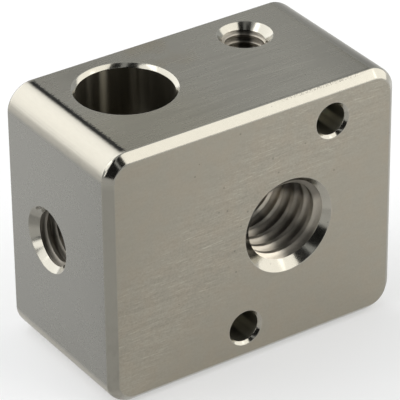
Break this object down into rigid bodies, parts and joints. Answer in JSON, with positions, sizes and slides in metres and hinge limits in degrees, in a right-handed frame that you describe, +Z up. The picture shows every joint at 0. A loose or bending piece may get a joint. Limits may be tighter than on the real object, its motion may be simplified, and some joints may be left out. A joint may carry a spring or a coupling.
{
  "type": "heater block",
  "caption": "Plated metal heater block with rounded edges, a plain bore for a heater cartridge, a through thread for the nozzle, threaded holes for the clamping and sensor screws, and two plain mounting holes.",
  "frame": {"origin": "middle of the bottom of the block's bounding box, as it stands in the picture", "axes": "+X along the length, away from the heater bore's end; -Y out of the front face, the large face with the nozzle thread; +Z up, along the heater bore"},
  "size_m": [0.0208, 0.0116, 0.0172],
  "materials": {
    "plated_metal": "satin nickel plating over fine milling marks"
  },
  "bodies": {
    "root": {"heater_block": "plated_metal"}
  },
  "joints": []
}
